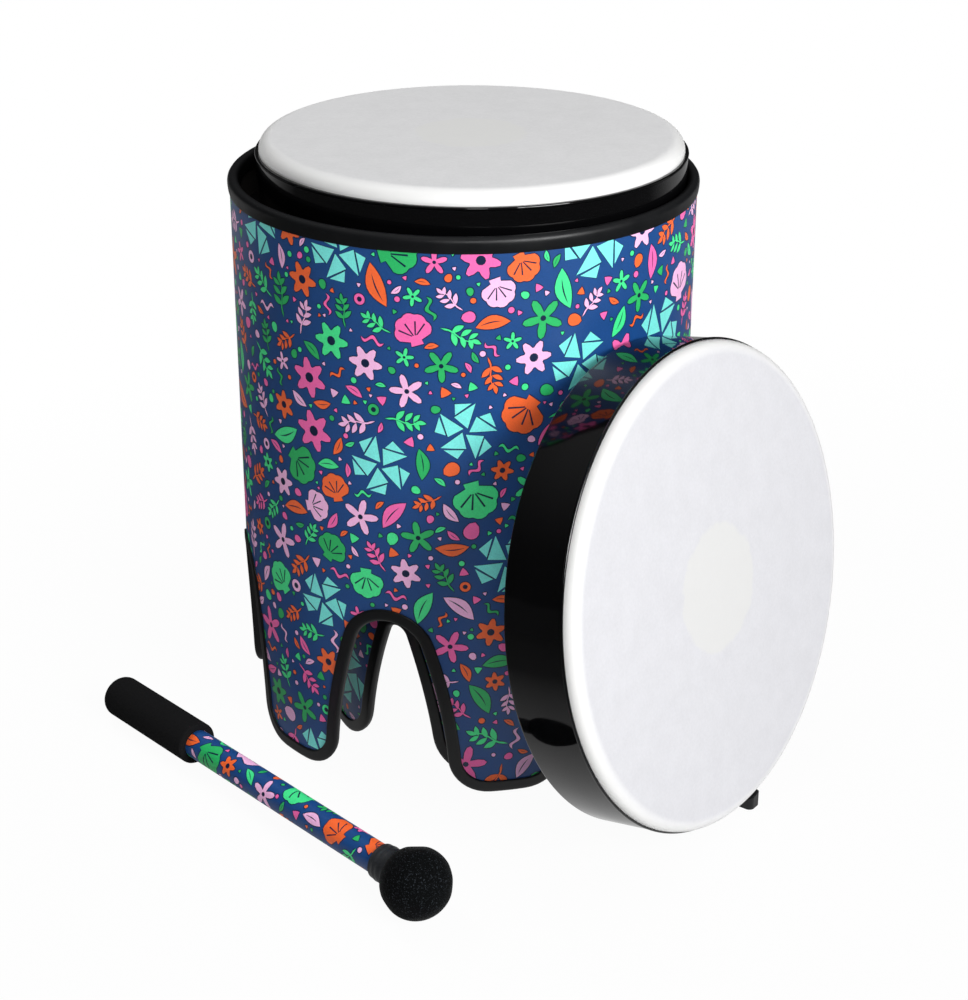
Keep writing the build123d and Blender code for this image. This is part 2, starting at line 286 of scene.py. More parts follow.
def fitted(piece, place, body, node, material):
    """Moves a piece into the frame, gives it its material, hangs it on its CAD body and hides the CAD node that it
    stands for.
    """
    only(piece)
    piece.matrix_world = place
    bpy.ops.object.transform_apply()
    coat(piece, material)
    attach(piece, body)
    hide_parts(node)
    return piece


def dressed(node, material):
    """Gives a CAD node a better material."""
    coat(FRAME["nodes"][node], material)


def linked(name, data):
    """New object of some data, in the scene."""
    made = bpy.data.objects.new(name, data)
    bpy.context.scene.collection.objects.link(made)
    return made


def from_grid(name, rows):
    """Mesh of quads through closed rows of points, closed from the last row to the first."""
    across = len(rows[0])
    quads = []
    for i in range(len(rows)):
        here, after = i * across, (i + 1) % len(rows) * across
        for j in range(across):
            beside = (j + 1) % across
            quads.append((here + j, here + beside, after + beside, after + j))
    mesh = bpy.data.meshes.new(name)
    mesh.from_pydata([point for row in rows for point in row], [], quads)
    return edited(linked(name, mesh), face_out)


# Materials

def wire(node, inputs):
    """Sets a node's inputs. A socket, or the first output of a node, is linked."""
    for name, value in inputs.items():
        if isinstance(value, bpy.types.Node):
            value = value.outputs[0]
        if isinstance(value, bpy.types.NodeSocket):
            node.id_data.links.new(value, node.inputs[name])
        else:
            node.inputs[name].default_value = value
    return node


def add(tree, kind, inputs=None, **settings):
    """Adds a shader node of a kind, such as Math, with its settings and inputs."""
    made = tree.nodes.new("ShaderNode" + kind)
    for name, value in settings.items():
        setattr(made, name, value)
    return wire(made, inputs or {})


def started(name):
    """New material with its tree, its principled shader and its object coordinates."""
    material = bpy.data.materials.new(name)
    material.use_nodes = True
    tree = material.node_tree
    shader = tree.nodes["Principled BSDF"]
    return material, tree, shader, add(tree, "TexCoord").outputs["Object"]


def mottled(tree, base, vector, amount, size, detail):
    """Colour that drifts lighter and darker by an amount, in patches of a size in millimetres."""
    cloud = add(tree, "TexNoise", {"Vector": vector, "Scale": 1 / (size * MM), "Detail": detail})
    share = add(tree, "MapRange", {"Value": cloud, "To Min": 1 - amount, "To Max": 1 + amount})
    return add(tree, "VectorMath", {0: base, 1: share}, operation="MULTIPLY")


def grained(tree, shader, vector, size, depth, detail):
    """Bump from fine noise of a size and a depth in millimetres."""
    cloud = add(tree, "TexNoise", {"Vector": vector, "Scale": 1 / (size * MM), "Detail": detail})
    bump = add(tree, "Bump", {"Height": cloud, "Distance": depth * MM})
    wire(shader, {"Normal": bump})


def drifting_roughness(tree, shader, vector, size, low, high):
    """Roughness that drifts between two values in patches of a size in millimetres."""
    cloud = add(tree, "TexNoise", {"Vector": vector, "Scale": 1 / (size * MM), "Detail": 4.0})
    rough = add(tree, "MapRange", {"Value": cloud, "From Min": 0.3, "From Max": 0.7, "To Min": low, "To Max": high})
    wire(shader, {"Roughness": rough})


def one_tint(name, tint, mottle, grain=None, drift=None, sockets=None, stretch=None):
    """Material of one tint, with a mottle (amount, size, detail), the grain of its bump (size, depth, detail) and the
    drift of its roughness (size, low, high), in millimetres."""
    material, tree, shader, vector = started(name)
    if stretch:
        vector = add(tree, "Mapping", {"Vector": vector, "Scale": stretch})
    wire(shader, {"Base Color": mottled(tree, linear(tint), vector, *mottle), **(sockets or {})})
    if grain:
        grained(tree, shader, vector, *grain)
    if drift:
        drifting_roughness(tree, shader, vector, *drift)
    return material


@cache
def printed_vinyl():
    """Calendered vinyl, printed and embossed with a linen grain: flat inks under a soft sheen."""
    material, tree, shader, vector = started("printed_vinyl")
    ink = add(tree, "VertexColor", layer_name="ink")
    # The linen grain is about 0.5 mm on the real sheet, drawn at 0.9 mm so that it shows.
    linen = mottled(tree, ink, vector, 0.16, 0.9, 1.0)
    wire(shader, {"Base Color": mottled(tree, linen, vector, 0.05, 6, 3.0)})
    grained(tree, shader, vector, 0.9, 0.03, 1.0)
    drifting_roughness(tree, shader, vector, 30, 0.34, 0.42)
    return material


@cache
def edge_rubber(name="edge_rubber", tint="#101113"):
    """Extruded EPDM rubber: black, satin, with a faint bloom."""
    return one_tint(name, tint, (0.15, 14, 3), (0.8, 0.02, 2), (20, 0.34, 0.46), {"Specular IOR Level": 0.36})


@cache
def black_lacquer():
    """Sprayed black lacquer on a bent wooden ring: deep, glossy, with a trace of orange peel."""
    return one_tint("black_lacquer", "#060607", (0.2, 25, 3), (6, 0.006, 0), (40, 0.04, 0.09))


@cache
def coated_film(name, flat, dot, tints):
    """Polyester film with a sprayed coat: matte and a little grey where it is struck, white at the collar."""
    material, tree, shader, vector = started(name)
    face_tint, dot_tint, collar_tint = (linear(tint) for tint in tints)
    face = add(tree, "UVMap", uv_map="face")
    reach = add(tree, "VectorMath", {0: face}, operation="LENGTH").outputs["Value"]
    coating = add(tree, "MapRange", {"Value": reach, "From Min": flat - 1.5 * MM, "From Max": flat + 6 * MM,
                                     "To Min": 1.0, "To Max": 0.0})
    blot = add(tree, "TexNoise", {"Vector": vector, "Scale": 1 / (14 * MM), "Detail": 4.0})
    ragged = add(tree, "Math", {0: blot, 1: 12 * MM, 2: reach}, operation="MULTIPLY_ADD")
    patch = add(tree, "MapRange", {"Value": ragged, "From Min": dot + 4 * MM, "From Max": dot + 7 * MM,
                                   "To Min": 0.75, "To Max": 0.0})
    clouds = mottled(tree, face_tint, vector, 0.05, 16, 3.0)
    struck = mottled(tree, clouds, vector, 0.06, 2.0, 5.0)
    toned = add(tree, "Mix", {0: patch, 6: struck, 7: (*dot_tint, 1)}, data_type="RGBA")
    base = add(tree, "Mix", {0: coating, 6: (*collar_tint, 1), 7: toned.outputs[2]}, data_type="RGBA")
    matte = add(tree, "MapRange", {"Value": coating, "To Min": 0.35, "To Max": 0.62})
    # The grit of the coat is about 0.2 mm, drawn at 0.9 mm so that it shows.
    grit = add(tree, "TexNoise", {"Vector": vector, "Scale": 1 / (0.9 * MM), "Detail": 2.0})
    height = add(tree, "Math", {0: grit, 1: coating}, operation="MULTIPLY")
    bump = add(tree, "Bump", {"Height": height, "Distance": 0.02 * MM})
    wire(shader, {"Base Color": base.outputs[2], "Roughness": matte, "Normal": bump})
    return material


@cache
def nbr_foam():
    """Closed-cell NBR foam, cut and skinned: dull black with fine pores."""
    return one_tint("nbr_foam", "#161617", (0.25, 1.2, 3), (0.9, 0.12, 4),
                    sockets={"Roughness": 0.93, "Specular IOR Level": 0.1})


def ball_velvet():
    """Short-pile polyester velvet: black, with a faint sheen and pale glints of single fibres painted into its
    colour.
    """
    material, tree, shader, vector = started("ball_velvet")
    base = mottled(tree, linear("#08090a"), vector, 0.5, 1.6, 5.0)
    # Painted highlights: pale specks in the colour stand in for single fibres that glint. The fibres are about 0.1 mm
    # thick, drawn at 1 mm so that they show.
    cloud = add(tree, "TexNoise", {"Vector": vector, "Scale": 1 / (1.0 * MM), "Detail": 2.0})
    painted_glint = add(tree, "MapRange", {"Value": cloud, "From Min": 0.58, "From Max": 0.78})
    pile_and_painted_glints = add(tree, "Mix", {0: painted_glint, 6: base, 7: (*linear("#383d43"), 1)}, data_type="RGBA")
    grained(tree, shader, vector, 0.9, 0.25, 4.0)
    wire(shader, {"Base Color": pile_and_painted_glints.outputs[2], "Roughness": 0.9, "Specular IOR Level": 0.05,
                  "Sheen Weight": 0.06, "Sheen Roughness": 0.35})
    return material


@cache
def fibre_board():
    """Wound and resin-bound fibre board, left raw inside: dark brown with long fibres."""
    return one_tint("fibre_board", "#2b2522", (0.35, 2.5, 5), (1.5, 0.1, 4), sockets={"Roughness": 0.8},
                    stretch=(1, 1, 0.12))


def painted_ply():
    """Birch ply brushed with black paint: dull, with the brush's streaks."""
    return one_tint("painted_ply", "#161616", (0.3, 5, 5), (1.2, 0.05, 2), sockets={"Roughness": 0.7})


def carbon_steel():
    """Ground carbon-steel balls: bright, with faint handling marks."""
    return one_tint("carbon_steel", "#b9bbbd", (0.06, 2, 3), drift=(1.5, 0.12, 0.25), sockets={"Metallic": 1.0})


def beech_dowel():
    """Turned beech dowel: pale, with short flecks along the grain."""
    return one_tint("beech_dowel", "#c49a6c", (0.15, 3, 5), (1.0, 0.03, 2), sockets={"Roughness": 0.55})


# The printed sheet

def ring_of(reach, count):
    """Closed outline from a radius that depends on the angle."""
    angles = [2 * pi * i / count for i in range(count)]
    return [(reach(a) * cos(a), reach(a) * sin(a)) for a in angles]


def band_of(line, width, steps=8):
    """Closed outline of a rounded band, as wide as width says, along a line from 0 to 1."""
    along = [(*line(i / steps), width(i / steps)) for i in range(steps + 1)]
    return [(x, y + w) for x, y, w in reversed(along)] + [(x, y - w) for x, y, w in along[1:-1]]


def turned_to(outline, angle, scale, x=0.0, y=0.0):
    """Outline scaled, turned and moved."""
    c, s = cos(angle) * scale, sin(angle) * scale
    return [(x + c * px - s * py, y + s * px + c * py) for px, py in outline]


def leaf_outline(bend=0.16, width=0.4, steps=8):
    """Pointed leaf from (-1, 0) to (1, 0)."""
    return band_of(lambda t: (2 * t - 1, bend * sin(pi * t)), lambda t: width * sin(pi * t) ** 0.9 + 0.001, steps)


def scallop():
    """Fan shell with dark ridges."""
    last = 20
    edge = []
    for i in range(last + 1):
        a = radians(-22) + radians(224) * i / last
        reach = 0.92 + 0.09 * abs(sin(pi * 5 * i / last))
        edge.append((reach * cos(a), reach * sin(a) - 0.12))
    fan = edge + [(-0.3, -0.66), (-0.34, -0.9), (0.34, -0.9), (0.3, -0.66)]
    ridge = [(0.035, 0), (0.05, 0.85), (-0.05, 0.85), (-0.035, 0)]
    turns = [radians(turn) for turn in (-52, -18, 18, 52)]
    return [fan], [turned_to(ridge, turn, 0.9, 0.16 * sin(-turn), -0.35) for turn in turns], [(0, 0, 0.94)]


def sprig():
    """Bent stem with pairs of pointed leaves."""
    stem = band_of(lambda t: (1.7 * t - 1, 0.1 * sin(2 * pi * t)), lambda t: 0.05 - 0.03 * t)
    small = leaf_outline(0.1, 0.42, 6)
    leaves = [turned_to(small, 0.0, 0.27, 0.78, 0.0)]
    for i, x in enumerate((-0.45, 0.0, 0.4)):
        for side in (1, -1):
            turn = side * radians(52)
            reach = 0.34 - 0.04 * i
            leaves.append(turned_to(small, turn, reach, x + reach * cos(turn) + 0.02, reach * sin(turn) + 0.03))
    return [stem] + leaves, [], [(-0.3, 0, 0.55), (0.25, 0, 0.55), (0.75, 0, 0.28), (-0.85, 0, 0.12)]


# Motifs of radius 1: outlines, dark marks on them, and discs (x, y, radius) that cover them
SCALLOP, SPRIG = scallop(), sprig()
SAIL = [(0.1, -0.05), (0.97, -0.18), (0.42, 0.42)]
FLAP = [(0.5, 0.4), (0.95, -0.06), (0.86, 0.46)]
PINWHEEL = [turned_to(part, 2 * pi * i / 5, 1.0) for i in range(5) for part in (SAIL, FLAP)], [], [(0, 0, 0.96)]
RIB = band_of(lambda t: (1.3 * t - 0.75, 0.16 * sin(pi * (0.12 + 0.65 * t))),
              lambda t: 0.035 * sin(pi * t) + 0.001, 6)
LEAF = [leaf_outline()], [RIB], [(-0.55, 0.05, 0.36), (0, 0.14, 0.46), (0.55, 0.05, 0.36)]
RIBBON = band_of(lambda t: (1.9 * t - 0.95, 0.24 * sin(3 * pi * t)),
                 lambda t: 0.15 * sin(pi * t) ** 0.35 + 0.001, 12)
WAVE = [RIBBON], [], [(-0.65, 0.12, 0.3), (0, -0.12, 0.32), (0.65, 0.12, 0.3)]
STARFISH = [ring_of(lambda a: 0.62 + 0.36 * cos(5 * a), 40)], [ring_of(lambda a: 0.14, 8)], [(0, 0, 0.9)]
PETALS = ring_of(lambda a: 0.74 + 0.23 * cos(6 * a - pi / 6), 36)
BLOSSOM = [PETALS], [ring_of(lambda a: 0.24, 10)], [(0, 0, 0.92)]
DROP = [ring_of(lambda a: 0.55 + 0.28 * max(0.0, cos(a)) ** 6 + 0.14 * cos(a), 14)], [], [(0.12, 0, 0.72)]
TRIANGLE = [ring_of(lambda a: 0.62 + 0.2 * cos(3 * a), 9)], [], [(0, 0, 0.75)]
DOT = [ring_of(lambda a: 0.9, 10)], [], [(0, 0, 0.9)]
HOOP = [ring_of(lambda a: 0.95, 14)], [ring_of(lambda a: 0.45, 8)], [(0, 0, 0.95)]

# Passes from large to small: motifs, smallest and largest radius in mm, tries per square metre
MOTIF_PASSES = (
    ((PINWHEEL,), 20, 28, 90),
    ((STARFISH, SCALLOP, SPRIG, LEAF, BLOSSOM, SPRIG), 11, 16, 14000),
    ((LEAF, WAVE, STARFISH, DROP, BLOSSOM), 6.5, 10, 30000),
    ((DROP, TRIANGLE, LEAF, HOOP), 3.8, 5.5, 40000),
    ((DOT, TRIANGLE), 1.6, 2.6, 30000),
)
MOTIF_GAP = 1.5  # millimetres between motifs
INK_REACH = 8  # millimetres within which neighbours get other inks
SCATTER_CELL = 30  # millimetres of a cell that neighbours are looked up in
SHEET_CELL = 9.0  # millimetres between the plain points of a sheet
SHEET_BEND = 0.22  # radians between them where the sheet is rolled tightly
INK_SHARES = {"orange": 3, "green": 2, "mint": 3, "pink": 3, "blush": 3, "turquoise": 1}


class Scatter:
    """Motifs thrown onto a sheet, in millimetres, each clear of the ones before it."""

    def __init__(self, width, low, high, seed):
        self.dice = random.Random(seed)
        self.width, self.low, self.high = width, low, high
        self.cells = {}
        self.motifs = []

    def near(self, x, y, reach):
        """Discs of motifs in the cells round a point."""
        columns, lines = (range(int((at - reach) // SCATTER_CELL) - 1, int((at + reach) // SCATTER_CELL) + 2)
                          for at in (x, y))
        for i in columns:
            for j in lines:
                yield from self.cells.get((i, j), ())

    def throw(self, motifs, smallest, largest, tries, inks):
        """Throws motifs of one size at random places and keeps those that fit."""
        for _ in range(tries):
            shapes, marks, discs = self.dice.choice(motifs)
            scale = self.dice.uniform(smallest, largest)
            angle = self.dice.uniform(0, 2 * pi)
            x = self.dice.uniform(-self.width / 2, self.width / 2)
            y = self.dice.uniform(self.low, self.high)
            place = (angle, scale, x, y)
            spots = [(*turned_to([(dx, dy)], *place)[0], r * scale) for dx, dy, r in discs]
            if any(hypot(sx - ox, sy - oy) < r + o + MOTIF_GAP for sx, sy, r in spots
                   for ox, oy, o, _ in self.near(sx, sy, r + largest)):
                continue
            beside = [ink for ox, oy, o, ink in self.near(x, y, scale + INK_REACH)
                      if hypot(x - ox, y - oy) < scale + o + INK_REACH]
            choice = min(inks, key=lambda ink: (beside.count(ink), -log(self.dice.random()) / INK_SHARES[ink]))
            for sx, sy, r in spots:
                cell = int(sx // SCATTER_CELL), int(sy // SCATTER_CELL)
                self.cells.setdefault(cell, []).append((sx, sy, r, choice))
            moved = ([turned_to(outline, *place) for outline in group] for group in (shapes, marks))
            self.motifs.append((*moved, choice))

    def fill(self):
        """All passes, large motifs first, without those that are too large for a narrow sheet."""
        area = self.width * (self.high - self.low) * 1e-6
        for motifs, smallest, largest, density in MOTIF_PASSES:
            inks = ("turquoise",) if PINWHEEL in motifs else tuple(INK_SHARES)[:-1]
            if 3 * largest < self.width:
                self.throw(motifs, smallest, largest, int(density * area), inks)
        return self.motifs


def grown(outline, by):
    """Outline moved outwards by a width."""
    area = sum(a[0] * b[1] - b[0] * a[1] for a, b in zip(outline, outline[1:] + outline[:1]))
    by = by if area > 0 else -by
    moved = []
    for before, here, after in zip(outline[-1:] + outline[:-1], outline, outline[1:] + outline[:1]):
        along = Vector((after[0] - before[0], after[1] - before[1]))
        along = along.normalized() if along.length else Vector((1, 0))
        moved.append((here[0] + by * along.y, here[1] - by * along.x))
    return moved


def stepped(outline, step):
    """Outline with its long edges divided, so that they bend with the sheet."""
    points = []
    for (x, y), (next_x, next_y) in zip(outline, outline[1:] + outline[:1]):
        count = max(1, int(hypot(next_x - x, next_y - y) / step + 0.99))
        points += [(x + (next_x - x) * i / count, y + (next_y - y) * i / count) for i in range(count)]
    return points


def printed_sheet(name, border, radius, settings, seed):
    """Sheet inside a border of (bearing, height), printed flat and rolled to a radius about Z."""
    to_flat = radius / MM
    sheet = [(bearing * to_flat, height / MM) for bearing, height in border]
    xs, ys = zip(*sheet)
    left, low, high = min(xs), min(ys), max(ys)
    width = max(xs) - left
    motifs = Scatter(width, low, high, seed).fill()
    inks = {ink: (*getattr(settings, ink), 1) for ink in (*INK_SHARES, "ground", "outline")}

    # Later outlines lie on earlier ones: the sheet, the dark lines, the motifs and the marks on them.
    loops = [(sheet, inks["ground"])]
    loops += [(grown(shape, settings.line / MM), inks["outline"]) for shapes, _, _ in motifs for shape in shapes]
    loops += [(shape, inks[ink]) for shapes, _, ink in motifs for shape in shapes]
    loops += [(mark, inks["outline"]) for _, marks, _ in motifs for mark in marks]

    points, faces = [], []
    cell = min(SHEET_CELL, SHEET_BEND * to_flat)
    for outline, _ in loops:
        outline = stepped(outline, cell)
        faces.append(list(range(len(points), len(points) + len(outline))))
        points += outline
    points += [(left + cell * (i + 0.5), low + cell * (j + 0.5))
               for i in range(int(width / cell)) for j in range(int((high - low) / cell))]
    made = delaunay_2d_cdt([Vector(p) for p in points], [], faces, 0, 1e-5, True)
    flat, triangles, sources = made[0], made[2], made[5]
    kept = [(t, max(s)) for t, s in zip(triangles, sources) if 0 in s]

    mesh = bpy.data.meshes.new(name)
    mesh.from_pydata([on_wall(radius, p.x / to_flat, p.y * MM) for p in flat], [], [t for t, _ in kept])
    mesh.attributes.new("ink", "FLOAT_COLOR", "CORNER")
    tones = [channel for t, s in kept for _ in t for channel in loops[s][1]]
    mesh.attributes["ink"].data.foreach_set("color", tones)
    piece = edited(linked(name, mesh), bpy.ops.mesh.delete_loose)
    bpy.ops.object.shade_smooth()
    outward = [Vector((v.co.x, v.co.y, 0)).normalized() for v in mesh.vertices]
    mesh.normals_split_custom_set_from_vertices(outward)
    return piece


# Shells

class WavyEdge:
    """Lower edge of a shell: arches with bowed sides between legs with rounded feet, drawn square to each arch."""

    def __init__(self, radius, crown, bow, top, foot, corner, legs=6):
        self.legs = legs
        self.crown, self.bow, self.corner = crown, bow, corner
        self.crown_z = top - crown
        self.corner_x = radius * sin(pi / legs) - foot / 2
        reach, rise = bow - crown, self.crown_z - corner
        between = hypot(self.corner_x, rise)
        share = (between ** 2 + reach ** 2 - (bow + corner) ** 2) / (2 * reach * between)
        start = atan2(rise, -self.corner_x) - acos(share)
        self.bow_x, self.bow_z = -reach * cos(start), self.crown_z - reach * sin(start)
        self.start, self.end = degrees(start), degrees(atan2(corner - self.bow_z, self.corner_x - self.bow_x))

    def half(self, inset, radius):
        """(bearing, height) from an arch's crown to the middle of the next leg, moved inset into the wall."""
        points = arc(0, self.crown_z, self.crown + inset, 90, self.start, 12)
        points += arc(self.bow_x, self.bow_z, self.bow + inset, self.start, self.end, 10)[1:-1]
        points += arc(self.corner_x, self.corner, self.corner - inset, 180 + self.end, 270, 10)
        side = radius * sin(pi / self.legs)
        points += [(self.corner_x + (side - self.corner_x) * i / 4, inset) for i in range(1, 5)]
        return [(asin(x / radius), z) for x, z in points]

    def turn(self, inset, radius):
        """(bearing, height) all round, from the arch at the back."""
        half = self.half(inset, radius)
        sector = 2 * pi / self.legs
        points = []
        for leg in range(self.legs):
            start = -pi + leg * sector
            points += [(start + b, z) for b, z in half[:-1]]
            points += [(start + sector - b, z) for b, z in reversed(half[1:])]
        return points + [(pi, half[0][1])]


def on_wall(radius, bearing, height):
    """Point on a cylinder, with bearings from -Y towards +X."""
    return radius * sin(bearing), -radius * cos(bearing), height


def channel_section(face, half_width, web, wall, crest, fall=0.0):
    """Closed outline of a U-shaped rubber trim as (inset, offset from the middle of the wall). Its outer face falls
    in from the crest to the lower edge."""
    def corner(x, y, r, start):
        return [(x + r * cos(radians(start + a)), y + r * sin(radians(start + a))) for a in (0, 22.5, 45, 67.5, 90)]
    end = (half_width - fall - wall) * 0.45
    return (corner(crest, half_width - crest, crest, 90) + corner(crest, crest - half_width, crest, 180)
            + corner(face - end, end - half_width, end, 270) + corner(face - end, -wall - end, end, 0)
            + [(web, -wall), (web, wall)]
            + corner(face - end, wall + end, end, 270) + corner(face - end, half_width - fall - end, end, 0)
            + [(crest + (face - crest) * s, half_width - fall * s * s) for s in (0.75, 0.5, 0.25)])


def leg_trim(name, edge, radius, shell):
    """Rubber channel along a shell's wavy lower edge."""
    half = shell.wall / 2
    columns = []
    for inset, offset in channel_section(shell.face, half + shell.lip, shell.web, half, shell.crest):
        reach = radius - half + offset
        columns.append([on_wall(reach, b, z) for b, z in edge.turn(inset, reach)[:-1]])
    return smooth(from_grid(name, columns))


def top_trim(name, radius, low, high, shell):
    """Rubber channel over a shell's upper edge."""
    half = shell.wall / 2
    section = channel_section(high - low, half + shell.lip, shell.web, half, shell.rim_crest, 0.4 * shell.lip)
    profile = [(radius - half + offset, high - inset) for inset, offset in section]
    return smooth(turned(name, profile, RING_SIDES, closed=True))


def shell_pieces(prefix, nodes, body, arch, foot, corner, turn, seed):
    """Printed sheet, upper trim and leg trim of one shell, on the CAD nodes' places."""
    shell, inks = bpy.context.scene.drum_shell, bpy.context.scene.drum_print
    wall, wrap, upper, lower = nodes
    radius, skin = half_width(wall), half_width(wrap)
    edge = WavyEdge(radius, arch, shell.bow, heights(lower)[1] - shell.face, foot, corner)
    place = Matrix.Translation(under(wall)) @ Matrix.Rotation(turn, 4, "Z")

    sheet_top = heights(wrap)[1] + shell.tuck
    border = edge.turn(shell.face - shell.tuck, skin) + [(pi, sheet_top), (-pi, sheet_top)]
    sheet = printed_sheet(prefix + "print", border, skin, inks, seed)
    fitted(sheet, place, body, wrap, printed_vinyl())
    rim = top_trim(prefix + "rim_rubber", radius, *heights(upper), shell)
    fitted(rim, place, body, upper, edge_rubber())
    legs = leg_trim(prefix + "leg_rubber", edge, radius, shell)
    fitted(legs, place, body, lower, edge_rubber())
    dressed(wall, fibre_board())


# Heads

def lay_out(piece):
    """Lays a skin's face out flat in a UV map, in metres from its middle."""
    layer = piece.data.uv_layers.new(name="face")
    for loop in piece.data.loops:
        layer.data[loop.index].uv = piece.data.vertices[loop.vertex_index].co.xy


def skin_piece(name, collar, skirt, rounding, low, thick):
    """White skin with a rounded collar, open below."""
    flat = collar - rounding
    top = low + skirt + rounding
    profile = [(collar, low)] + arc(flat, low + skirt, rounding, 0, 90, 10)
    profile += [(flat * share, top) for share in (0.985, 0.8, 0.6, 0.4, 0.2)]
    piece = modified(turned(name, profile, RING_SIDES, cap=True), "SOLIDIFY", thickness=thick, offset=-1)
    lay_out(piece)
    return smooth(piece)


def hoop_piece(name, outer, inner, low, high):
    """Thin ring with softened edges."""
    profile = [(inner, low), (outer, low), (outer, high), (inner, high)]
    ring = modified(turned(name, profile, RING_SIDES, closed=True), "BEVEL", width=1.0 * MM, segments=4,
                    limit_method="ANGLE", angle_limit=radians(40))
    return smooth(ring, 40)


def head_pieces(prefix, nodes, body, place, collar, rounding, hoop, outer, bottom, rear_edge, film):
    """Skin, hoop and bent wooden frame of one head. The hoop is given by its radii and heights."""
    head = bpy.context.scene.drum_head
    skin_node, hoop_node, frame_node = nodes
    low, high = hoop[2:]
    skin = skin_piece(prefix + "film", collar, head.skirt, rounding, high, head.skin)
    fitted(skin, place, body, skin_node, film)
    ring = hoop_piece(prefix + "ring", *hoop)
    fitted(ring, place, body, hoop_node, black_lacquer())

    flat, crest = collar - rounding, rounding - head.skin - head.slack
    meet = degrees(acos((outer - head.frame - flat) / crest))
    profile = rear_edge + arc(outer - REAR_ROUND, bottom + REAR_ROUND, REAR_ROUND, -90, 0, 6)
    profile += [(outer, 0.6 * low + 0.4 * profile[-1][1]), (outer, low), (flat + crest, low)]
    profile += arc(flat, high + head.skirt, crest, 0, meet, 8)
    frame = smooth(turned(prefix + "body", profile, RING_SIDES, closed=True), 35)
    fitted(frame, place, body, frame_node, black_lacquer())


def extent(node, place):
    """Outer and inner radius, lowest and highest point of a turned CAD node about the Z axis of a place."""
    home = place.inverted()
    local = [home @ v.co for v in FRAME["nodes"][node].data.vertices]
    radii, tall = [p.xy.length for p in local], [p.z for p in local]
    return max(radii), min(radii), min(tall), max(tall)


def turned_place(across, upward, along, origin):
    """Place of a piece whose own axes and origin are given."""
    place = Matrix((across, upward, along)).transposed().to_4x4()
    place.translation = origin
    return place


# Operators

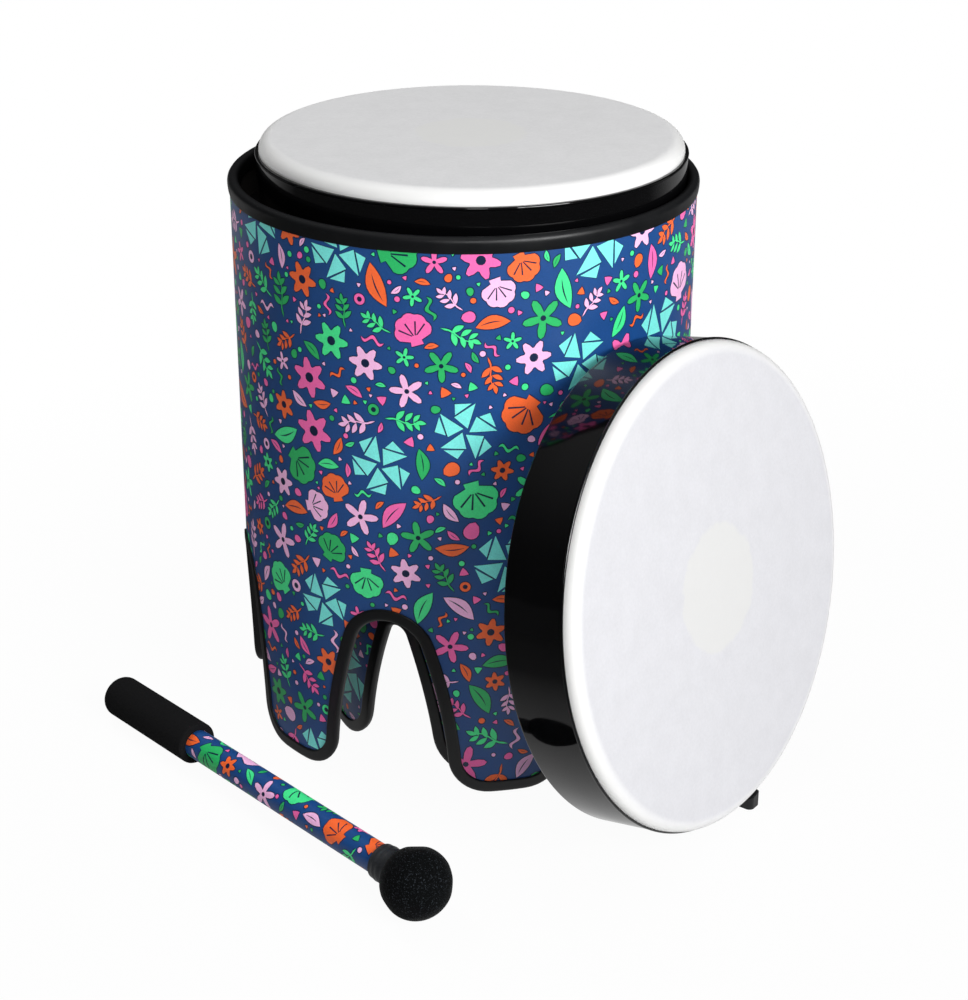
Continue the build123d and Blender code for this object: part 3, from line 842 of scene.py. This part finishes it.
class DRUMSET_OT_stage(Operator):
    """Builds the floor, the studio light and the camera"""
    bl_idname = "drumset.stage"
    bl_label = "Stage"

    def execute(self, context):
        settings = context.scene.drum_stage
        self.floor(settings)
        self.light(settings)
        self.camera(settings)
        context.scene.view_settings.view_transform = "Standard"
        return {"FINISHED"}

    def floor(self, settings):
        """White paper that keeps the shadow. In reflections it glows with painted light: white under the ocean drum,
        pale far behind the set and dark elsewhere."""
        bpy.ops.object.select_all(action="DESELECT")
        bpy.ops.mesh.primitive_plane_add(size=FLOOR_SIZE)
        floor = bpy.context.object
        floor.name = "studio_floor"
        material = bpy.data.materials.new("studio_paper")
        material.use_nodes = True
        tree = material.node_tree
        tree.nodes.clear()
        path = add(tree, "LightPath").outputs
        seen = add(tree, "Math", {0: path["Is Camera Ray"], 1: path["Is Transmission Ray"]}, operation="MAXIMUM")
        place = add(tree, "TexCoord").outputs["Object"]
        away = add(tree, "VectorMath", {0: place, 1: under("ocean_frame")}, operation="DISTANCE").outputs["Value"]
        behind = add(tree, "VectorMath", {0: place, 1: on_wall(-1, settings.camera_bearing, 0)},
                     operation="DOT_PRODUCT").outputs["Value"]
        # Painted reflection: glossy rays see the paper glow in a sweep behind the set and in a pool round the ocean
        # drum
        painted_sweep = add(tree, "MapRange", {"Value": behind, "From Min": 0.3, "From Max": 1.0, "To Max": 0.35})
        painted_pool = add(tree, "ValToRGB", {"Fac": away})
        stops = painted_pool.color_ramp.elements
        for i, (reach, level) in enumerate(FLOOR_PAINTED_POOL):
            stop = stops[i] if i < 2 else stops.new(reach)
            stop.color = (level, level, level, 1)
        painted_reflection = add(tree, "Math", {0: painted_sweep, 1: painted_pool}, operation="MAXIMUM")
        glow = add(tree, "Math", {0: seen, 1: painted_reflection}, operation="MAXIMUM")
        either = add(tree, "Math", {0: seen, 1: path["Is Glossy Ray"]}, operation="MAXIMUM")
        faded = add(tree, "MapRange", {"Value": away, "From Min": 0.45, "From Max": 1.0, "To Min": 0.96})
        share = add(tree, "Math", {0: either, 1: faded}, operation="MULTIPLY")
        paper = add(tree, "BsdfDiffuse", {"Color": (*settings.floor, 1)})
        white = add(tree, "Emission", {"Strength": glow})
        mix = add(tree, "MixShader", {0: share, 1: paper, 2: white})
        add(tree, "OutputMaterial", {"Surface": mix})
        floor.data.materials.append(material)

    def lamp(self, name, bearing, elevation, reach, size, power):
        """Square soft box that looks at the drum."""
        away = Vector(on_wall(cos(radians(elevation)), radians(bearing), sin(radians(elevation)))) * reach
        data = bpy.data.lights.new(name, "AREA")
        data.size, data.energy = size, power
        lamp = linked(name, data)
        lamp.location = under("shell") + Vector((0, 0, LAMP_AIM)) + away
        lamp.rotation_euler = away.to_track_quat("Z", "Y").to_euler()
        return lamp

    def light(self, settings):
        """White room to the eye; its light grows from the horizon to the zenith."""
        world = bpy.data.worlds.new("studio")
        bpy.context.scene.world = world
        world.use_nodes = True
        tree = world.node_tree
        direction = add(tree, "TexCoord").outputs["Generated"]
        height = add(tree, "SeparateXYZ", {0: direction}).outputs["Z"]
        rise = add(tree, "Math", {0: height, 1: 3.0}, operation="POWER")
        room = add(tree, "MapRange", {"Value": rise, "To Min": settings.horizon, "To Max": settings.zenith})
        seen = add(tree, "LightPath").outputs["Is Camera Ray"]
        level = add(tree, "Mix", {0: seen, 2: room, 3: 1.0})
        wire(tree.nodes["Background"], {"Color": (1, 1, 1, 1), "Strength": level})
        self.lamp("key_box", 57, 26, 2.6, 1.1, settings.key)
        self.lamp("front_box", 22, 31, 2.2, 0.35, settings.front)
        self.lamp("rear_box", -120, 45, 2.6, 1.0, settings.rear).visible_glossy = False

    def camera(self, settings):
        data = bpy.data.cameras.new("camera")
        data.sensor_fit = "VERTICAL"
        data.sensor_height = 36
        data.lens = settings.camera_lens
        camera = linked("camera", data)
        spot = Vector(on_wall(settings.camera_reach, settings.camera_bearing, settings.camera_height))
        camera.location = spot + under("shell")
        heading = settings.camera_bearing - settings.camera_swing
        aim = Euler((pi / 2 - settings.camera_dip, 0, heading)).to_matrix()
        camera.rotation_euler = (aim @ Matrix.Rotation(settings.camera_roll, 3, "Z")).to_euler()
        bpy.context.scene.camera = camera


class DRUMSET_OT_floor_drum(Operator):
    """Builds the floor drum's print and trims, and finishes its shell and ledge"""
    bl_idname = "drumset.floor_drum"
    bl_label = "Floor drum"

    def execute(self, context):
        shell = context.scene.drum_shell
        shell_pieces("", ("shell", "outer_wrap", "top_trim", "leg_trim"), "drum", shell.arch, shell.foot,
                     shell.corner, 0.0, context.scene.drum_print.seed)
        dressed("seat_ring", painted_ply())
        self.pad()
        return {"FINISHED"}

    def pad(self):
        """Foam ring on the ledge, crowned and soft at its edges."""
        place = Matrix.Translation(under("seat_pad"))
        outer, inner, low, high = extent("seat_pad", place)
        soft, crown = 0.4 * (high - low), 0.12 * (high - low)
        profile = [(inner, low)] + arc(inner + soft, high - crown - soft, soft, 180, 100, 5)
        profile += [((inner + outer) / 2, high)] + arc(outer - soft, high - crown - soft, soft, 80, 0, 5)
        ring = smooth(turned("seat_foam", profile + [(outer, low)], RING_SIDES, closed=True))
        fitted(ring, place, "drum", "seat_pad", nbr_foam())


class DRUMSET_OT_nested_shell(Operator):
    """Builds the print and trims of the smaller shell inside the floor drum"""
    bl_idname = "drumset.nested_shell"
    bl_label = "Nested shell"

    def execute(self, context):
        shell = context.scene.drum_shell
        nodes = ("nested_shell", "nested_wrap", "nested_top_trim", "nested_leg_trim")
        shell_pieces("nested_", nodes, "nested", shell.nested_arch, shell.nested_foot, shell.nested_corner,
                     shell.nested_turn, context.scene.drum_print.seed + 1)
        return {"FINISHED"}


class DRUMSET_OT_head(Operator):
    """Builds the lift-out head"""
    bl_idname = "drumset.head"
    bl_label = "Lift-out head"

    def execute(self, context):
        head = context.scene.drum_head
        collar, outer = half_width("head_skin"), half_width("head_frame")
        inner, bottom = outer - head.frame, heights("head_frame")[0]
        hoop = (half_width("head_hoop"), collar - head.skin, *heights("head_hoop"))
        rear_edge = [(inner, bottom + REAR_ROUND), (inner + REAR_ROUND, bottom)]
        film = coated_film("head_polyester", collar - head.round, head.dot, HEAD_TINTS)
        head_pieces("head_", ("head_skin", "head_hoop", "head_frame"), "head",
                    Matrix.Translation(under("head_hoop")), collar, head.round, hoop, outer, bottom, rear_edge, film)
        dressed("head_tone_dot", coated_film("dot_polyester", 0.0, head.dot, DOT_TINTS))
        return {"FINISHED"}


class DRUMSET_OT_ocean_drum(Operator):
    """Builds the leaning ocean drum and finishes its beads and chock"""
    bl_idname = "drumset.ocean_drum"
    bl_label = "Ocean drum"

    def execute(self, context):
        head = context.scene.drum_head
        roll = next(joint for joint in FRAME["joints"] if joint["name"] == "beads_roll")
        facing = Vector(roll["axis"]).normalized()
        across = Vector((-facing.y, facing.x, 0)).normalized()
        place = turned_place(across, facing.cross(across), facing, Vector(roll["pos_m"]))
        outer, _, bottom, _ = extent("ocean_frame", place)
        collar = extent("ocean_front_skin", place)[0]
        back_outer, _, back_low, back_high = extent("ocean_back_skin", place)
        rebate, seat, nick = back_outer + head.slack, back_high + head.slack, REAR_ROUND / 4
        rear_edge = [(outer - head.frame, seat), (rebate, seat), (rebate, bottom + nick), (rebate + nick, bottom)]
        film = coated_film("ocean_polyester", collar - head.ocean_round, head.dot + 5 * MM, OCEAN_TINTS)
        head_pieces("ocean_", ("ocean_front_skin", "ocean_front_hoop", "ocean_frame"), "ocean_drum", place, collar,
                    head.ocean_round, extent("ocean_front_hoop", place), outer, bottom, rear_edge, film)

        # The back film is turned from the middle of its rear to the middle of its front, and closed there.
        shares = (0.2, 0.5, 0.8, 1)
        profile = [(back_outer * s, back_low) for s in shares]
        profile += [(back_outer * s, back_high) for s in reversed(shares)]
        back = edited(turned("ocean_back_film", profile, BACK_SIDES), bpy.ops.mesh.region_to_loop,
                      bpy.ops.mesh.edge_face_add, face_out)
        lay_out(smooth(back, 35))
        fitted(back, place, "ocean_drum", "ocean_back_skin",
               coated_film("back_polyester", back_outer, 0.0, BACK_TINTS))
        ring = hoop_piece("ocean_back_ring", *extent("ocean_back_hoop", place))
        fitted(ring, place, "ocean_drum", "ocean_back_hoop", black_lacquer())

        dressed("ocean_tone_dot", coated_film("dot_polyester", 0.0, head.dot, DOT_TINTS))
        dressed("ocean_beads", carbon_steel())
        dressed("rubber_chock", edge_rubber())
        return {"FINISHED"}


class DRUMSET_OT_mallet(Operator):
    """Builds the mallet"""
    bl_idname = "drumset.mallet"
    bl_label = "Mallet"

    def execute(self, context):
        mallet, inks = context.scene.drum_mallet, context.scene.drum_print
        ball = middle("mallet_ball_core")
        along = (ball - middle("mallet_wrap")).normalized()
        beside = Vector((along.y, -along.x, 0)).normalized()
        place = turned_place(beside, along.cross(beside), along, ball)

        low, high = extent("mallet_wrap", place)[2:]
        border = [(pi * (2 * i / 24 - 1), low) for i in range(25)] + [(pi, high), (-pi, high)]
        sheet = printed_sheet("mallet_print", border, mallet.sleeve_radius, inks, inks.seed + 2)
        fitted(sheet, place, "mallet", "mallet_wrap", printed_vinyl())
        grip = self.grip(mallet, *extent("mallet_grip", place)[2:])
        fitted(grip, place, "mallet", "mallet_grip", nbr_foam())
        ferrule = self.ferrule(mallet, *extent("mallet_ferrule", place)[2:])
        fitted(ferrule, place, "mallet", "mallet_ferrule", edge_rubber("sleeve_rubber", "#2f3134"))
        cover = self.cover(mallet)
        fitted(cover, place, "mallet", "mallet_ball_cover", ball_velvet())
        dressed("mallet_shaft", beech_dowel())
        dressed("mallet_ball_core", edge_rubber())
        return {"FINISHED"}

    def grip(self, mallet, low, high):
        """Foam tube with a domed end and a softened mouth."""
        radius, bore, dome, mouth = mallet.grip_radius, mallet.sleeve_radius, 7 * MM, 2 * MM
        profile = [(0.25 * radius, low), (0.45 * radius, low)]
        profile += arc(radius - dome, low + dome, dome, -90, 0, 8)
        profile += [(radius, low + share * (high - low)) for share in (0.3, 0.5, 0.7)]
        profile += arc(radius - mouth, high - mouth, mouth, 0, 90, 5) + [(bore, high), (bore, high - 12 * MM)]
        return smooth(turned("mallet_foam", list(reversed(profile)), MALLET_SIDES, cap=True))

    def ferrule(self, mallet, low, high):
        """Short sleeve with a gathered neck."""
        radius, bore, steps = mallet.ferrule_radius, mallet.sleeve_radius - 0.5 * MM, 24
        profile = [(bore, low), (radius - 1.6 * MM, low)]
        for t in (i / steps for i in range(steps + 1)):
            swell = 0.16 * MM * cos(2 * pi * 3 * t) + 0.6 * MM * sin(pi * t)
            profile.append((radius - 0.9 * MM + swell, low + t * (high - low)))
        return smooth(turned("mallet_neck", profile + [(bore, high)], MALLET_SIDES, closed=True))

    def cover(self, mallet):
        """Velvet pulled over the ball, with soft lumps, and gathered at the neck."""
        radius, neck = mallet.ball_radius, mallet.ferrule_radius - 0.5 * MM
        start = degrees(asin(neck / radius)) - 90
        piece = turned("mallet_velvet", arc(0, 0, radius, start, 86, 36), MALLET_SIDES, cap=True)
        for vertex in piece.data.vertices:
            bearing = atan2(vertex.co.y, vertex.co.x)
            gather = max(0.0, (-vertex.co.z / radius - 0.55) / 0.45)
            lump = max(0.0, noise.noise(vertex.co / radius * 1.7 + Vector((3.1, 0.4, 1.8))))
            vertex.co *= 1 - 0.05 * lump
            vertex.co.z *= 0.945 if vertex.co.z > 0 else 1
            vertex.co.xy *= 1 + 0.012 * gather * sin(18 * bearing)
        return smooth(piece, 60)


class DRUMSET_PT_panel(Panel):
    """Shows the drum set's build steps and their settings"""
    bl_label = "Drum set"
    bl_space_type = "VIEW_3D"
    bl_region_type = "UI"
    bl_category = "Drum set"

    def draw(self, context):
        for step in STEPS:
            self.layout.operator(step.bl_idname)
        for group in SETTINGS:
            box = self.layout.box()
            for name in SETTINGS[group].__annotations__:
                box.prop(getattr(context.scene, group), name)


SETTINGS = {
    "drum_print": PrintSettings,
    "drum_shell": ShellSettings,
    "drum_head": HeadSettings,
    "drum_mallet": MalletSettings,
    "drum_stage": StageSettings,
}
STEPS = (DRUMSET_OT_stage, DRUMSET_OT_floor_drum, DRUMSET_OT_nested_shell, DRUMSET_OT_head, DRUMSET_OT_ocean_drum,
         DRUMSET_OT_mallet)
CLASSES = (*SETTINGS.values(), *STEPS, DRUMSET_PT_panel)


def register():
    for cls in CLASSES:
        bpy.utils.register_class(cls)
    for name, group in SETTINGS.items():
        setattr(bpy.types.Scene, name, PointerProperty(type=group))


def unregister():
    for name in SETTINGS:
        delattr(bpy.types.Scene, name)
    for cls in reversed(CLASSES):
        bpy.utils.unregister_class(cls)


def main():
    """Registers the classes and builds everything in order."""
    register()
    bpy.ops.drumset.stage()
    bpy.ops.drumset.floor_drum()
    bpy.ops.drumset.nested_shell()
    bpy.ops.drumset.head()
    bpy.ops.drumset.ocean_drum()
    bpy.ops.drumset.mallet()


if __name__ == "__main__":
    main()
